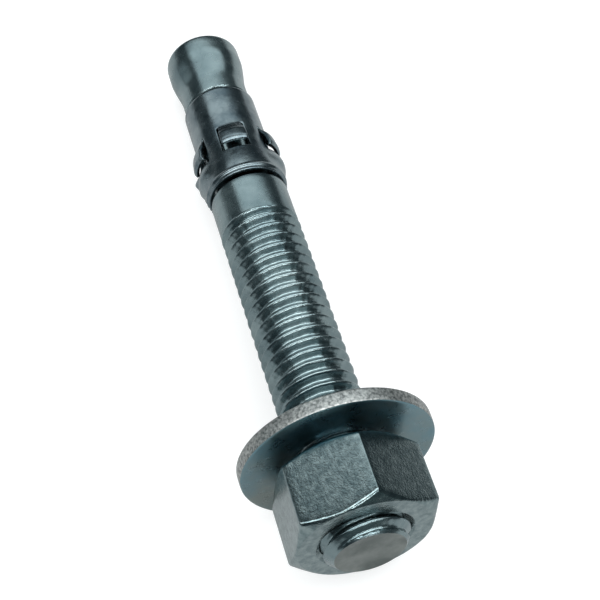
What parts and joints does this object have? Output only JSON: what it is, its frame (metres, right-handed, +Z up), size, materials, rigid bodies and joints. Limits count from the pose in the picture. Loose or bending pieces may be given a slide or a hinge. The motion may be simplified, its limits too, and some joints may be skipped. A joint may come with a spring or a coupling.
{
  "type": "wedge anchor",
  "caption": "Zinc plated concrete wedge anchor: threaded stud with tapered tip, louvred expansion clip, flat washer and hex nut, lying on its side.",
  "frame": {"origin": "centre of the bounding box's bottom face; the washer's rim and the edge of the tip touch the plane Z = 0", "axes": "+X runs along the anchor from the tip towards the nut, +Z up; the stud's own axis rises 5.7 degrees towards +X"},
  "size_m": [0.0958, 0.0278, 0.0278],
  "materials": {
    "stud_zinc": "bright blue-white zinc plate on cold formed steel",
    "clip_zinc": "duller zinc plate on stamped sheet steel",
    "washer_zinc": "bright zinc plate, sheared rim",
    "nut_zinc": "bright zinc plate, fine scratches"
  },
  "bodies": {
    "stud_body": {"stud": "stud_zinc"},
    "clip_body": {"expansion_clip": "clip_zinc"},
    "washer_body": {"flat_washer": "washer_zinc"},
    "nut_body": {"hex_nut": "nut_zinc"}
  },
  "joints": [
    {"name": "clip_turn", "type": "hinge", "parent": "stud_body", "child": "clip_body", "pos_m": [-0.0347, 0, 0.00727], "axis": [0.9951, 0, 0.0986], "continuous": true},
    {"name": "washer_slide", "type": "slide", "parent": "stud_body", "child": "washer_body", "axis": [0.9951, 0, 0.0986], "range_m": [-0.0372, 0.0098]},
    {"name": "nut_turn", "type": "hinge", "parent": "washer_body", "child": "nut_body", "pos_m": [0.03431, 0, 0.01411], "axis": [0.9951, 0, 0.0986], "range_deg": [-6840, 1800]}
  ],
  "couplings": [
    {"joint": "washer_slide", "follows": "nut_turn", "m_per_rad": 0.00031096}
  ]
}
